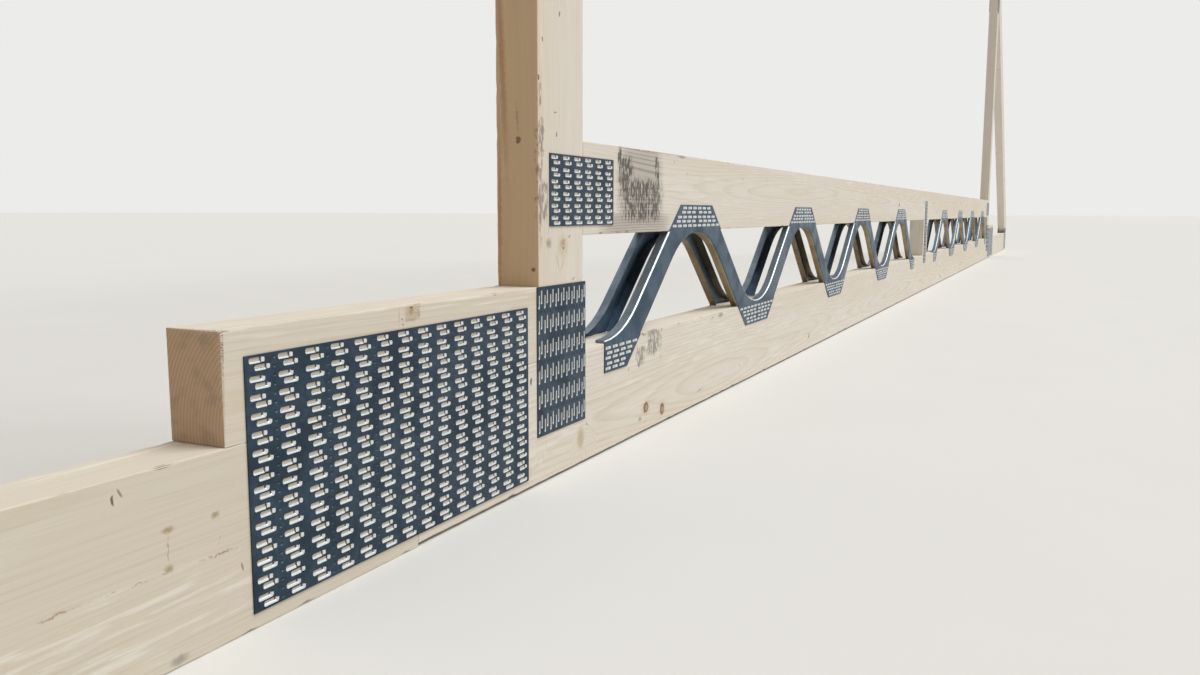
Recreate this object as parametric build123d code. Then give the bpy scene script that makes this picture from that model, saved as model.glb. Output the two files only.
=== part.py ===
# An attic roof truss with a steel-webbed floor.
# X runs along the span, Y through the thickness of the timber (the front face looks to -Y) and
# Z points up. The origin is in the middle of the underside. All sizes are in millimetres.
from build123d import *
from math import acos, atan2, cos, degrees, hypot, radians, sin, tan
import os

# Timber, sawn softwood all of one thickness
timber_thickness = 47.0
centre_chord_depth = 125.0
end_chord_depth = 128.0
block_depth = 75.0
block_length = 413.0
floor_chord_depth = 100.0
post_width = 100.0
stud_width = 100.0
rafter_depth = 150.0
tie_depth = 100.0

# Layout of the whole truss
room_width = 5500.0
floor_gap = 125.0
eaves_run = 1750.0
roof_pitch = 40.0
heel_butt_height = 20.0
ceiling_height = 2350.0

# Steel
plate_thickness = 1.0
web_sheet_thickness = 1.0

# Pressed steel web strips
web_pitch = 610.0
web_plate_narrow_width = 127.0
web_plate_overlap = 34.5
strut_width = 36.7
crotch_clearance = 3.5
flange_depth = 12.0
flange_bend_radius = 2.5
flange_to_timber = 0.4
web_end_gap = 54.6
web_to_stud_gap = 60.0

# Punched nail plates
splice_plate_length = 371.0
splice_plate_height = 173.4
splice_plate_drop = 18.5
splice_plate_gap = 19.3
post_foot_plate_width = 108.4
post_foot_plate_height = 152.6
post_foot_plate_rise = 75.0
floor_end_plate_length = 153.6
floor_end_plate_height = 73.2
floor_end_plate_drop = 16.7
stud_plate_width = 50.0
stud_plate_height = 217.0
stud_plate_shift = 18.6
heel_plate_size = 152.0
heel_plate_inset = 15.0
heel_plate_lift = 12.0
knee_plate_width = 102.0
knee_plate_height = 152.0
tie_plate_length = 152.0
tie_plate_height = 76.0
apex_plate_length = 178.0
apex_plate_height = 102.0
apex_plate_lift = 12.0

# Levels and places that follow from the sizes above
rise_per_run = tan(radians(roof_pitch))
face_y = timber_thickness / 2
chord_top = end_chord_depth
floor_under = chord_top + floor_gap
floor_top = floor_under + floor_chord_depth
post_inner_x = room_width / 2
post_outer_x = post_inner_x + post_width
half_span = post_outer_x + eaves_run
foot_plate_overhang = (post_foot_plate_width - post_width) / 2
splice_x = post_outer_x + foot_plate_overhang + splice_plate_gap + splice_plate_length / 2
tie_under = floor_top + ceiling_height
tie_top = tie_under + tie_depth


def rafter_under(x):
    """Height of the rafter's underside at a distance x from the middle of the span."""
    return heel_butt_height + (half_span - x) * rise_per_run


def rafter_over(x):
    """Height of the rafter's top face at a distance x from the middle of the span."""
    return rafter_under(x) + rafter_depth / cos(radians(roof_pitch))


def rafter_under_x(z):
    """Distance from the middle of the span at which the rafter's underside is at height z."""
    return half_span - (z - heel_butt_height) / rise_per_run


def outline_face(corners):
    """A flat outline in the truss's elevation, from (x, z) corners."""
    return make_face(Plane.XZ * Polyline(*corners, close=True))


def timber(corners):
    """A timber cut to an outline, centred on the truss's middle plane."""
    return extrude(outline_face(corners), amount=timber_thickness / 2, both=True)


def sheet_of(face, depth):
    """A flat outline in the elevation, thickened from y = 0 back towards +Y."""
    return extrude(face, amount=depth, dir=(0, 1, 0))


def mirrored_corners(corners, side):
    """Corners given for the right half, turned to the side wanted: 1 is right and -1 is left."""
    return [(side * x, z) for x, z in corners]


# The bottom chord is three timbers butted end to end under the splice plates
def centre_chord():
    low = end_chord_depth - centre_chord_depth
    return timber([(-splice_x, low), (splice_x, low), (splice_x, chord_top), (-splice_x, chord_top)])


def end_chord(side):
    # the outer end is cut to the roof pitch, where the rafter bears on it
    corners = [
        (splice_x, 0),
        (half_span, 0),
        (half_span, heel_butt_height),
        (rafter_under_x(chord_top), chord_top),
        (splice_x, chord_top),
    ]
    return timber(mirrored_corners(corners, side))


def block(side):
    corners = [
        (post_outer_x, chord_top),
        (post_outer_x + block_length, chord_top),
        (post_outer_x + block_length, chord_top + block_depth),
        (post_outer_x, chord_top + block_depth),
    ]
    return timber(mirrored_corners(corners, side))


def post(side):
    corners = [
        (post_inner_x, chord_top),
        (post_outer_x, chord_top),
        (post_outer_x, rafter_under(post_outer_x)),
        (post_inner_x, rafter_under(post_inner_x)),
    ]
    return timber(mirrored_corners(corners, side))


def floor_chord():
    return timber([
        (-post_inner_x, floor_under),
        (post_inner_x, floor_under),
        (post_inner_x, floor_top),
        (-post_inner_x, floor_top),
    ])


def centre_stud():
    half = stud_width / 2
    return timber([(-half, chord_top), (half, chord_top), (half, floor_under), (-half, floor_under)])


def rafter(side):
    corners = [
        (half_span, rafter_under(half_span)),
        (half_span, rafter_over(half_span)),
        (0, rafter_over(0)),
        (0, rafter_under(0)),
    ]
    return timber(mirrored_corners(corners, side))


def ceiling_tie():
    low_x = rafter_under_x(tie_under)
    high_x = rafter_under_x(tie_top)
    return timber([(-low_x, tie_under), (low_x, tie_under), (high_x, tie_top), (-high_x, tie_top)])


# A web strip is pressed from one steel sheet: half a toothed plate at each cut end, whole plates
# bearing on the two chords by turns, and struts between them whose edges are bent in as flanges.
half_pitch = web_pitch / 2
plate_bottom = chord_top - web_plate_overlap
plate_top = floor_under + web_plate_overlap
crotch_low = chord_top + crotch_clearance
crotch_high = floor_under - crotch_clearance
web_height = plate_top - plate_bottom
strut_run = half_pitch - web_plate_narrow_width
strut_angle = acos(strut_width / hypot(web_height, strut_run)) - atan2(strut_run, web_height)
narrow_half = web_plate_narrow_width / 2
crotch_half = half_pitch - narrow_half - (plate_top - crotch_low) / tan(strut_angle)

# A crotch is one round arch that runs on into both struts
crotch_radius = crotch_half * sin(strut_angle) / (1 - cos(strut_angle))

# As many whole pitches as fit between a post and the centre stud
web_room = post_inner_x - stud_width / 2 - web_end_gap - web_to_stud_gap
web_pitches = int(web_room // web_pitch)
strip_length = web_pitches * web_pitch


def arch(middle_x, level, rise, start, end):
    """A crotch's round edge between two angles from its middle. Rise is 1 where it opens upwards."""
    angles = (start, (start + end) / 2, end)
    return ThreePointArc(*[
        (middle_x + crotch_radius * sin(angle), level + rise * crotch_radius * (1 - cos(angle)))
        for angle in angles
    ])


def upper_edge():
    """The strip's upper edge from its left end: arches low down and narrow plate edges high up."""
    curves = [arch(0, crotch_low, 1, 0, strut_angle)]
    for index in range(web_pitches):
        middle = (index + 0.5) * web_pitch
        past = strut_angle if index < web_pitches - 1 else 0
        curves.append(Line((middle - narrow_half, plate_top), (middle + narrow_half, plate_top)))
        curves.append(arch(middle + half_pitch, crotch_low, 1, -strut_angle, past))
    return curves


def lower_edge():
    """The strip's lower edge from its left end: narrow plate edges low down and arches high up."""
    curves = [Line((0, plate_bottom), (narrow_half, plate_bottom))]
    for index in range(web_pitches):
        middle = (index + 0.5) * web_pitch
        right = min(middle + half_pitch + narrow_half, strip_length)
        curves.append(arch(middle, crotch_high, -1, -strut_angle, strut_angle))
        curves.append(Line((middle + half_pitch - narrow_half, plate_bottom), (right, plate_bottom)))
    return curves


def linked(curves):
    """Curves in a row, with the straight strut edges that link each to the next."""
    return curves + [Line(a @ 1, b @ 0) for a, b in zip(curves, curves[1:])]


def strip_outline():
    """The flat outline of a strip that starts at x = 0."""
    upper, lower = upper_edge(), lower_edge()
    ends = [Line(upper[0] @ 0, lower[0] @ 0), Line(upper[-1] @ 1, lower[-1] @ 1)]
    return Plane.XZ * make_face(linked(upper) + linked(lower) + ends)


def clear_band():
    """The band of the elevation between the two chords, a hair clear of the timber."""
    low = chord_top + flange_to_timber
    high = floor_under - flange_to_timber
    margin = half_pitch
    return outline_face([
        (-margin, low),
        (strip_length + margin, low),
        (strip_length + margin, high),
        (-margin, high),
    ])


def is_bend_edge(edge):
    """True for the front edges of a strut that are rolled over into a flange."""
    box = edge.bounding_box()
    on_front = abs(box.min.Y) < 0.01 and abs(box.max.Y) < 0.01
    low = chord_top + flange_to_timber
    high = floor_under - flange_to_timber
    on_cut = abs(box.max.Z - low) < 0.01 or abs(box.min.Z - high) < 0.01
    at_end = box.size.X < 0.01
    return on_front and not on_cut and not at_end


def web_strip():
    """A strip with its front face on y = 0 and its flanges bent back towards +Y."""
    outline = strip_outline()
    sheet = sheet_of(outline, web_sheet_thickness)
    struts = sheet_of(outline & clear_band(), flange_depth)
    struts = fillet(struts.edges().filter_by(is_bend_edge), flange_bend_radius)
    inside = offset(outline, amount=-web_sheet_thickness)
    hollow = sheet_of(inside, 2 * flange_depth) - sheet_of(inside, web_sheet_thickness)
    channels = struts - hollow
    flat = sheet - sheet_of(clear_band(), 2 * flange_depth)
    return flat + channels


def placed_strip(strip, side, front):
    """A strip set against the post on one side, on the front or the back face of the truss."""
    start_x = post_inner_x - web_end_gap - strip_length
    piece = Pos(start_x, -face_y - web_sheet_thickness, 0) * strip
    if side < 0:
        piece = mirror(piece, about=Plane.YZ)
    if not front:
        piece = mirror(piece, about=Plane.XZ)
    return piece


# Nail plates are flat sheets pressed on to both faces of every joint
def nail_plate(centre_x, low, width, height, front):
    y = -face_y - plate_thickness / 2
    if not front:
        y = -y
    return Pos(centre_x, y, low + height / 2) * Box(width, plate_thickness, height)


def splice_plate(side, front):
    low = chord_top + block_depth - splice_plate_drop - splice_plate_height
    return nail_plate(side * splice_x, low, splice_plate_length, splice_plate_height, front)


def post_foot_plate(side, front):
    centre_x = side * (post_inner_x + post_width / 2)
    low = chord_top + post_foot_plate_rise - post_foot_plate_height
    return nail_plate(centre_x, low, post_foot_plate_width, post_foot_plate_height, front)


def floor_end_plate(side, front):
    low = floor_top - floor_end_plate_drop - floor_end_plate_height
    return nail_plate(side * post_inner_x, low, floor_end_plate_length, floor_end_plate_height, front)


def stud_plate(front):
    low = (chord_top + floor_under) / 2 + stud_plate_shift - stud_plate_height / 2
    return nail_plate(0, low, stud_plate_width, stud_plate_height, front)


def heel_plate(side, front):
    centre_x = side * (half_span - heel_plate_inset - heel_plate_size / 2)
    return nail_plate(centre_x, heel_plate_lift, heel_plate_size, heel_plate_size, front)


def knee_plate(side, front):
    middle_x = post_inner_x + post_width / 2
    low = rafter_under(middle_x) - knee_plate_height / 2
    return nail_plate(side * middle_x, low, knee_plate_width, knee_plate_height, front)


def tie_plate(side, front):
    middle = (tie_under + tie_top) / 2
    centre_x = side * rafter_under_x(middle)
    return nail_plate(centre_x, middle - tie_plate_height / 2, tie_plate_length, tie_plate_height, front)


def apex_plate(front):
    low = rafter_under(0) + apex_plate_lift
    return nail_plate(0, low, apex_plate_length, apex_plate_height, front)


def all_pieces():
    pieces = {
        "bottom_chord_centre": centre_chord(),
        "floor_chord": floor_chord(),
        "centre_stud": centre_stud(),
        "ceiling_tie": ceiling_tie(),
    }
    strip = web_strip()
    for side, side_name in ((-1, "left"), (1, "right")):
        pieces[f"bottom_chord_{side_name}"] = end_chord(side)
        pieces[f"block_{side_name}"] = block(side)
        pieces[f"post_{side_name}"] = post(side)
        pieces[f"rafter_{side_name}"] = rafter(side)
    for front, face_name in ((True, "front"), (False, "back")):
        pieces[f"stud_plate_{face_name}"] = stud_plate(front)
        pieces[f"apex_plate_{face_name}"] = apex_plate(front)
        for side, side_name in ((-1, "left"), (1, "right")):
            name = f"{side_name}_{face_name}"
            pieces[f"web_strip_{name}"] = placed_strip(strip, side, front)
            pieces[f"splice_plate_{name}"] = splice_plate(side, front)
            pieces[f"post_foot_plate_{name}"] = post_foot_plate(side, front)
            pieces[f"floor_end_plate_{name}"] = floor_end_plate(side, front)
            pieces[f"heel_plate_{name}"] = heel_plate(side, front)
            pieces[f"knee_plate_{name}"] = knee_plate(side, front)
            pieces[f"tie_plate_{name}"] = tie_plate(side, front)
    return pieces


os.makedirs("parts", exist_ok=True)
print("strut angle", round(degrees(strut_angle), 2), "pitches", web_pitches)
for node, solid in all_pieces().items():
    export_step(solid, f"parts/{node}.step")
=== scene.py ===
# %% [markdown]
# An attic roof truss with a steel-webbed floor
#
# The truss is a flat frame of sawn spruce. Punched steel nail plates hold its joints on both
# faces, and a zigzag of pressed steel webs keeps the bottom chord and the floor chord apart.
# The construction is already there at its real size, so this lesson only gives it its looks:
# eased edges and grain for the timber, slots and teeth for the steel, and a plain studio.

# %% Load the construction
import bmesh
import bpy
import random
from math import acos, atan2, cos, pi, radians, sin, tan
from mathutils import Matrix, Vector
from mathutils.kdtree import KDTree


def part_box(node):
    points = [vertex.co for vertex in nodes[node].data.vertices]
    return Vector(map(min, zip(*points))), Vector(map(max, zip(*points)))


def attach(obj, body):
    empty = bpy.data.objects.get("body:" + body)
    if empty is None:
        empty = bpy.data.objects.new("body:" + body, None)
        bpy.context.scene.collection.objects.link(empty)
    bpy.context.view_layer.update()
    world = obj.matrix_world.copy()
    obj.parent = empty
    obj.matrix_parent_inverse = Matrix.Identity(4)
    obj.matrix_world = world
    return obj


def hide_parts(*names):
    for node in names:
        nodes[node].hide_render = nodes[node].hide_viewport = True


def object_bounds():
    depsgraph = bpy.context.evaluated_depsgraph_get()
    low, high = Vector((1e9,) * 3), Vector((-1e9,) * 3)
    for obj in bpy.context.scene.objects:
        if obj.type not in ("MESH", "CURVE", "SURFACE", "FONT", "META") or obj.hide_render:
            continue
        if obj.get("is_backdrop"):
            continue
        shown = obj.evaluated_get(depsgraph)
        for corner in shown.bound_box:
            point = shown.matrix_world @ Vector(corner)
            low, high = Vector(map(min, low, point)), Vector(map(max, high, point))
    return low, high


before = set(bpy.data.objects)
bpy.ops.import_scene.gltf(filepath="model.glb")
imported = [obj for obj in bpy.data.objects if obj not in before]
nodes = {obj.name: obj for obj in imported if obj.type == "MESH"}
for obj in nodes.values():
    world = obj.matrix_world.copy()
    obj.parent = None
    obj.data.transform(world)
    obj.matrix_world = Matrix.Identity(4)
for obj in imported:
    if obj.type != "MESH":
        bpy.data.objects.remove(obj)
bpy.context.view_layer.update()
MM = 0.001

# %% [markdown]
# Colours are picked as sRGB hex values, the way a paint card gives them. Blender computes in
# linear light, so one function turns them. A second function adds a node, sets it and links
# it, for materials and for Geometry Nodes alike. Some nodes keep sockets that their settings
# switch off, so it counts only the sockets in use. Inputs are given by name, or as a list in
# the order of the sockets. A Map Range node takes the value, the range that it comes from and
# the range that it goes to. A Mix node takes the share of the second colour, then both.

# %% Colour and node helpers
def linear(code):
    """A colour from an sRGB hex value, with alpha."""
    channels = [int(code[i:i + 2], 16) / 255 for i in (1, 3, 5)]
    return [c / 12.92 if c <= 0.04045 else ((c + 0.055) / 1.055) ** 2.4 for c in channels] + [1.0]


def socket_of(sockets, key):
    """The socket in use that has a name, or a place in the row of those in use."""
    used = [socket for socket in sockets if socket.enabled]
    return used[key] if isinstance(key, int) else next(s for s in used if s.name == key)


def give(tree, node, inputs):
    """Sets or links inputs. A node stands for its first output, and a list of nodes joins them."""
    for key, value in inputs.items() if isinstance(inputs, dict) else enumerate(inputs):
        target = socket_of(node.inputs, key)
        several = isinstance(value, list) and isinstance(value[0], bpy.types.Node)
        for source in value if several else [value]:
            if isinstance(source, bpy.types.Node):
                source = socket_of(source.outputs, 0)
            if isinstance(source, bpy.types.NodeSocket):
                tree.links.new(source, target)
            else:
                target.default_value = source


def add(tree, kind, settings=None, inputs=()):
    """Adds a node to a tree, with its settings and its inputs."""
    node = tree.nodes.new(kind)
    for name, value in (settings or {}).items():
        setattr(node, name, value)
    give(tree, node, inputs)
    return node


def new_material(name):
    """An empty material with its shader, and the tree that both are in."""
    material = bpy.data.materials.new(name)
    material.use_nodes = True
    tree = material.node_tree
    shader = tree.nodes["Principled BSDF"]
    return material, tree, shader


ATTRIBUTE, COORDINATES = "ShaderNodeAttribute", "ShaderNodeTexCoord"
BUMP, NOISE = "ShaderNodeBump", "ShaderNodeTexNoise"
VORONOI, WAVE = "ShaderNodeTexVoronoi", "ShaderNodeTexWave"
MAP_RANGE, MATHS, VECTOR_MATHS = "ShaderNodeMapRange", "ShaderNodeMath", "ShaderNodeVectorMath"
MIX, COMBINE = "ShaderNodeMix", "ShaderNodeCombineXYZ"
PLUS, MINUS, TIMES = {"operation": "ADD"}, {"operation": "SUBTRACT"}, {"operation": "MULTIPLY"}
TIMES_PLUS, LARGER, LENGTH = {"operation": "MULTIPLY_ADD"}, {"operation": "MAXIMUM"}, {"operation": "LENGTH"}
COLOURS, SMOOTH = {"data_type": "RGBA"}, {"interpolation_type": "SMOOTHSTEP"}
print("a mid grey in linear light", [round(c, 3) for c in linear("#808080")])

# %% [markdown]
# Sawn spruce
#
# Kiln-dried sawn spruce is pale cream. Growth rings are cylinders round the pith, and the saw
# cuts through them, so a ring pattern in three dimensions draws streaks on the faces and arcs
# on the ends with no seam between them. Each timber carries its own grain coordinates in an
# attribute: along the grain, across the face and through the thickness, in metres. The Wave
# texture draws 20 x scale / (2 pi) rings to the metre. Noise that is stretched along the grain
# adds the fibres, and Voronoi cells place the knots, whose distance is measured in metres
# again so that they stay round.

# %% Spruce colours and sizes
RING_SPACING = 3.4 * MM
RING_WAVE_SCALE = 2 * pi / 20 / RING_SPACING
SPRUCE_EARLY = linear("#DCD5CB")
SPRUCE_LATE = linear("#CABEAA")
SPRUCE_FIBRE = linear("#C2B4A0")
SPRUCE_WARM = linear("#D5C6AF")
SPRUCE_FUZZ = linear("#EAE6DE")
WEATHERED = linear("#C6BCA6")
TORN = linear("#7F6A52")
KNOT_HEART = linear("#8A6544")
KNOT_RIM = linear("#6E4C30")
NICK = linear("#84735F")
SPRUCE_ROUGHNESS = 0.72
SPRUCE_IOR = 1.52
# Cells to the metre along the grain and across it, each with one knot or nick in the middle
KNOT_CELLS = (1.9, 8.0)
NICK_CELLS = (11.0, 9.0)
NICK_SIZE = (1.9 * MM, 7.0 * MM)
# A knot from the outside in: its colour, where that begins to fade and where it ends, its strength
KNOT_LAYERS = ((SPRUCE_WARM, 6.0 * MM, 22.0 * MM, 0.45), (KNOT_RIM, 5.0 * MM, 8.5 * MM, 1.0),
               (KNOT_HEART, 3.5 * MM, 5.5 * MM, 1.0))
KNOT_RAGGED = 6.0 * MM
# How far round a knot the rings bend, and how far they are pushed
SWIRL_REACH, SWIRL_PUSH = 34.0 * MM, 12.0 * MM
RING_WANDER = (0.0, 45.0 * MM, 45.0 * MM)
# How dark the wood is at each share of a ring, from early wood to late wood
RING_SHADES = ((0.0, 0.0), (0.55, 0.12), (0.92, 1.0), (1.0, 0.0))
# Changes to the metre along, across and through the grain. Fibres 1.6 mm wide give 620 across.
WANDER_RATES = (1.1, 3.0, 3.0)
TONE_RATES = (0.9, 14.0, 14.0)
PATCH_RATES = (2.3, 16.0, 16.0)
RAISED_RATES = (16.0, 230.0, 230.0)
FIBRE_RATES = (9.0, 620.0, 620.0)
PORE_RATES = (60.0, 1500.0, 1500.0)
SAW_RATES = (330.0, 12.0, 12.0)


def stretched_noise(tree, place, rates, detail):
    """Noise that changes at a rate of its own along each axis."""
    stretched = add(tree, VECTOR_MATHS, TIMES, [place, rates])
    return add(tree, NOISE, None, {"Vector": stretched, "Scale": 1.0, "Detail": detail})


def laid_over(tree, colour, paint, field, low, high, strength):
    """A colour with a paint over it, from none where a field is low to a strength where it is high."""
    cover = add(tree, MAP_RANGE, SMOOTH, [field, low, high, 0.0, strength])
    return add(tree, MIX, COLOURS, [cover, colour, paint])


def scattered(tree, grain, cells):
    """The way in metres from the middle of the nearest random spot, and the spot's random colour."""
    spread = add(tree, VECTOR_MATHS, TIMES, [grain, (*cells, 0.0)])
    spots = add(tree, VORONOI, {"voronoi_dimensions": "2D"},
                {"Vector": spread, "Scale": 1.0, "Randomness": 1.0})
    away = add(tree, VECTOR_MATHS, MINUS, [spread, spots.outputs["Position"]])
    in_metres = add(tree, VECTOR_MATHS, TIMES, [away, (1 / cells[0], 1 / cells[1], 0.0)])
    return in_metres, spots.outputs["Color"]


def nicks(tree, grain):
    """Short dark dents across the grain, each with a slant of its own."""
    away, chance = scattered(tree, grain, NICK_CELLS)
    slant = add(tree, MAP_RANGE, SMOOTH, [chance, 0.3, 0.7, -0.5, 0.5])
    turned = add(tree, "ShaderNodeVectorRotate", {"rotation_type": "Z_AXIS"},
                 {"Vector": away, "Angle": slant})
    in_halves = add(tree, VECTOR_MATHS, TIMES, [turned, (2 / NICK_SIZE[0], 2 / NICK_SIZE[1], 0.0)])
    inside = add(tree, VECTOR_MATHS, LENGTH, [in_halves])
    dent = add(tree, MAP_RANGE, SMOOTH, [inside, 0.55, 1.15, 1.0, 0.0])
    present = add(tree, MAP_RANGE, SMOOTH, [chance, 0.40, 0.44])
    return add(tree, MATHS, TIMES, [dent, present])


# %% [markdown]
# Some marks sit at one place on one timber, such as a knot beside a plate or a streak of pith.
# Each is an oval or a streak between two places, in millimetres in the truss's own frame. A
# Mapping node of the Texture kind measures from the mark's middle in half sizes, so its
# length is 1 at the mark's edge. Marks of a kind share one colour and one edge.

# %% Marks at one place
FRONT_FACE = -23.5
MARK_DEPTH = 7.0


def oval(x, z, wide, high):
    """A round mark on the front face."""
    return Vector((x, FRONT_FACE, z)) * MM, Vector((wide / 2, MARK_DEPTH, high / 2)) * MM, (0, 0, 0)


def streak(start, end, width):
    """A long mark from one place to another."""
    start, end = Vector(start) * MM, Vector(end) * MM
    turn = (end - start).to_track_quat("X", "Z").to_euler()
    return (start + end) / 2, Vector(((end - start).length / 2, width * MM / 2, width * MM / 2)), turn


def front_streak(x1, z1, x2, z2, width):
    """A long mark on the front face."""
    return streak((x1, FRONT_FACE, z1), (x2, FRONT_FACE, z2), width)


def mark_cover(tree, where, places, inner, outer, square=False):
    """How strongly a kind of mark covers a point: 1 within its inner size, 0 past its outer one."""
    cover = 0.0
    for centre, half, turn in places:
        local = add(tree, "ShaderNodeMapping", {"vector_type": "TEXTURE"},
                    {"Vector": where, "Location": centre, "Rotation": turn, "Scale": half})
        if square:
            local = add(tree, VECTOR_MATHS, TIMES, [local, local])
        away = add(tree, VECTOR_MATHS, LENGTH, [local])
        spot = add(tree, MAP_RANGE, SMOOTH, [away, inner, outer, 1.0, 0.0])
        cover = add(tree, MATHS, LARGER, [cover, spot])
    return cover


def ragged_place(tree, scale, amount):
    """Object coordinates pushed about by noise, so that a mark's edge isn't a drawn oval."""
    where = add(tree, COORDINATES).outputs["Object"]
    push = add(tree, NOISE, None, {"Vector": where, "Scale": scale, "Detail": 3.0})
    centred = add(tree, VECTOR_MATHS, MINUS, [push.outputs["Color"], (0.5, 0.5, 0.5)])
    pushed = add(tree, VECTOR_MATHS, TIMES_PLUS, [centred, (amount, amount, amount), where])
    return pushed, where


# %% [markdown]
# The tan is painted shade: it darkens and warms the post's shaded left side, so it ends at the
# timber's own edge and its place isn't pushed about. A wash of dirt has square corners and is
# thinner on the early wood, so the rings show through it. Mould grows in the damp wood as fine
# grey and black threads across the grain, with bare wood between them, so its places are
# broken up by a noise that is stretched upright.

# %% Mark colours and their order on the wood
MOULD = linear("#4F4A44")
MOULD_STRENGTH = {"mould": 0.95, "faint mould": 0.62}
# Changes to the metre, for threads 3 mm apart and 8 mm long
MOULD_RATES = (360.0, 360.0, 120.0)
# Changes to the metre of the noise that makes a mark's edge ragged, and how far it pushes
MARK_RAGGED = (210.0, 5.0 * MM)
MOULD_RAGGED = (90.0, 12.0 * MM)
# For each kind its colour, its inner and outer size as shares of the mark, and its strength
MARK_COLOURS = {
    # The tan is painted shade for the post's shaded left side
    "tan": (linear("#BE9A6C"), 0.9, 1.1, 0.75),
    "band": (linear("#A87A50"), 0.1, 1.2, 0.75),
    "streak": (linear("#A08068"), 0.2, 1.15, 0.8),
    "wash": (linear("#7E766E"), 0.3, 1.15, 0.75),
    "smudge": (linear("#8F8880"), 0.2, 1.2, 0.75),
    "halo": (linear("#C8B595"), 0.2, 1.2, 0.7),
    "olive": (linear("#9C8964"), 0.2, 1.15, 0.8),
    "knot": (linear("#76543C"), 0.8, 1.05, 0.9),
    "heart": (linear("#B39A82"), 0.6, 1.1, 0.9),
    "speck": (linear("#5F4B3A"), 0.5, 1.1, 0.9),
}


def draw_marks(tree, colour, marks, late):
    """Paints a timber's marks one kind after another."""
    pushed, where = ragged_place(tree, *MARK_RAGGED)
    for kind, (paint, inner, outer, strength) in MARK_COLOURS.items():
        if kind in marks:
            place = where if kind == "tan" else pushed
            cover = mark_cover(tree, place, marks[kind], inner, outer, kind == "wash")
            if kind == "wash":
                rings_show = add(tree, MAP_RANGE, SMOOTH, [late, 0.1, 0.7, 0.6, 1.0])
                cover = add(tree, MATHS, TIMES, [cover, rings_show])
            cover = add(tree, MATHS, TIMES, [cover, strength])
            colour = add(tree, MIX, COLOURS, [cover, colour, paint])
    return colour


def draw_mould(tree, colour, places, strength):
    """Paints mould that grows denser towards the middle of each place."""
    pushed, where = ragged_place(tree, *MOULD_RAGGED)
    cover = mark_cover(tree, pushed, places, 0.3, 1.1, square=True)
    threads = stretched_noise(tree, where, MOULD_RATES, 6.0)
    grown = add(tree, MATHS, TIMES_PLUS, [cover, 0.14, threads])
    dark = add(tree, MATHS, TIMES, [add(tree, MAP_RANGE, SMOOTH, [grown, 0.53, 0.69]), cover])
    return add(tree, MIX, COLOURS, [add(tree, MATHS, TIMES, [dark, strength]), colour, MOULD])


# %% [markdown]
# Rings wander along the log and bend round each knot. A knot has a warm halo, a dark rim and a
# lighter heart, and only some of the Voronoi cells hold one.

# %% Rings and knots
WOOD_RINGS = {"wave_type": "RINGS", "rings_direction": "X", "wave_profile": "SAW"}


def growth_rings(tree, grain, knot_far):
    """How dark the late wood is at a point."""
    wander = stretched_noise(tree, grain, WANDER_RATES, 1.0)
    drift = add(tree, VECTOR_MATHS, TIMES_PLUS, [wander.outputs["Color"], RING_WANDER, grain])
    swirl = add(tree, MAP_RANGE, SMOOTH, [knot_far, 0.0, SWIRL_REACH, SWIRL_PUSH, 0.0])
    pushed = add(tree, VECTOR_MATHS, PLUS, [drift, swirl])
    rings = add(tree, WAVE, WOOD_RINGS, {
        "Vector": pushed, "Scale": RING_WAVE_SCALE, "Distortion": 1.2, "Detail": 2.0, "Detail Scale": 0.06})
    late = add(tree, "ShaderNodeValToRGB", None, [rings.outputs["Fac"]])
    stops = late.color_ramp.elements
    while len(stops) < len(RING_SHADES):
        stops.new(0.5)
    for stop, (place, shade) in zip(stops, RING_SHADES):
        stop.position = place
        stop.color = (shade, shade, shade, 1.0)
    return late


def draw_knots(tree, colour, grain, knot_far, knot_colour, chance):
    """Paints round knots in the cells whose random colour is above a chance."""
    present = add(tree, MAP_RANGE, SMOOTH, [knot_colour, chance, chance + 0.04])
    rough = add(tree, NOISE, None, {"Vector": grain, "Scale": 160.0, "Detail": 2.0})
    ragged = add(tree, MATHS, TIMES_PLUS, [rough, KNOT_RAGGED, -KNOT_RAGGED / 2])
    edge = add(tree, MATHS, PLUS, [knot_far, ragged])
    for paint, fades, ends, strength in KNOT_LAYERS:
        cover = add(tree, MAP_RANGE, SMOOTH, [edge, fades, ends, strength, 0.0])
        cover = add(tree, MATHS, TIMES, [cover, present])
        colour = add(tree, MIX, COLOURS, [cover, colour, paint])
    return colour


# %% [markdown]
# The spruce itself is built up from the rings, the fibres, a warmer or more weathered tone in
# broad patches, pale fuzz where the saw raised the fibres, scattered nicks and knots, then the
# timber's own marks and mould, and last the torn wood along its edges. Fibres, saw marks and
# pores raise the surface a little. Timbers with marks of their own get fewer random knots.

# %% The wood's surface
MARKED_KNOT_CHANCE, PLAIN_KNOT_CHANCE = 0.62, 0.42


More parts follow.
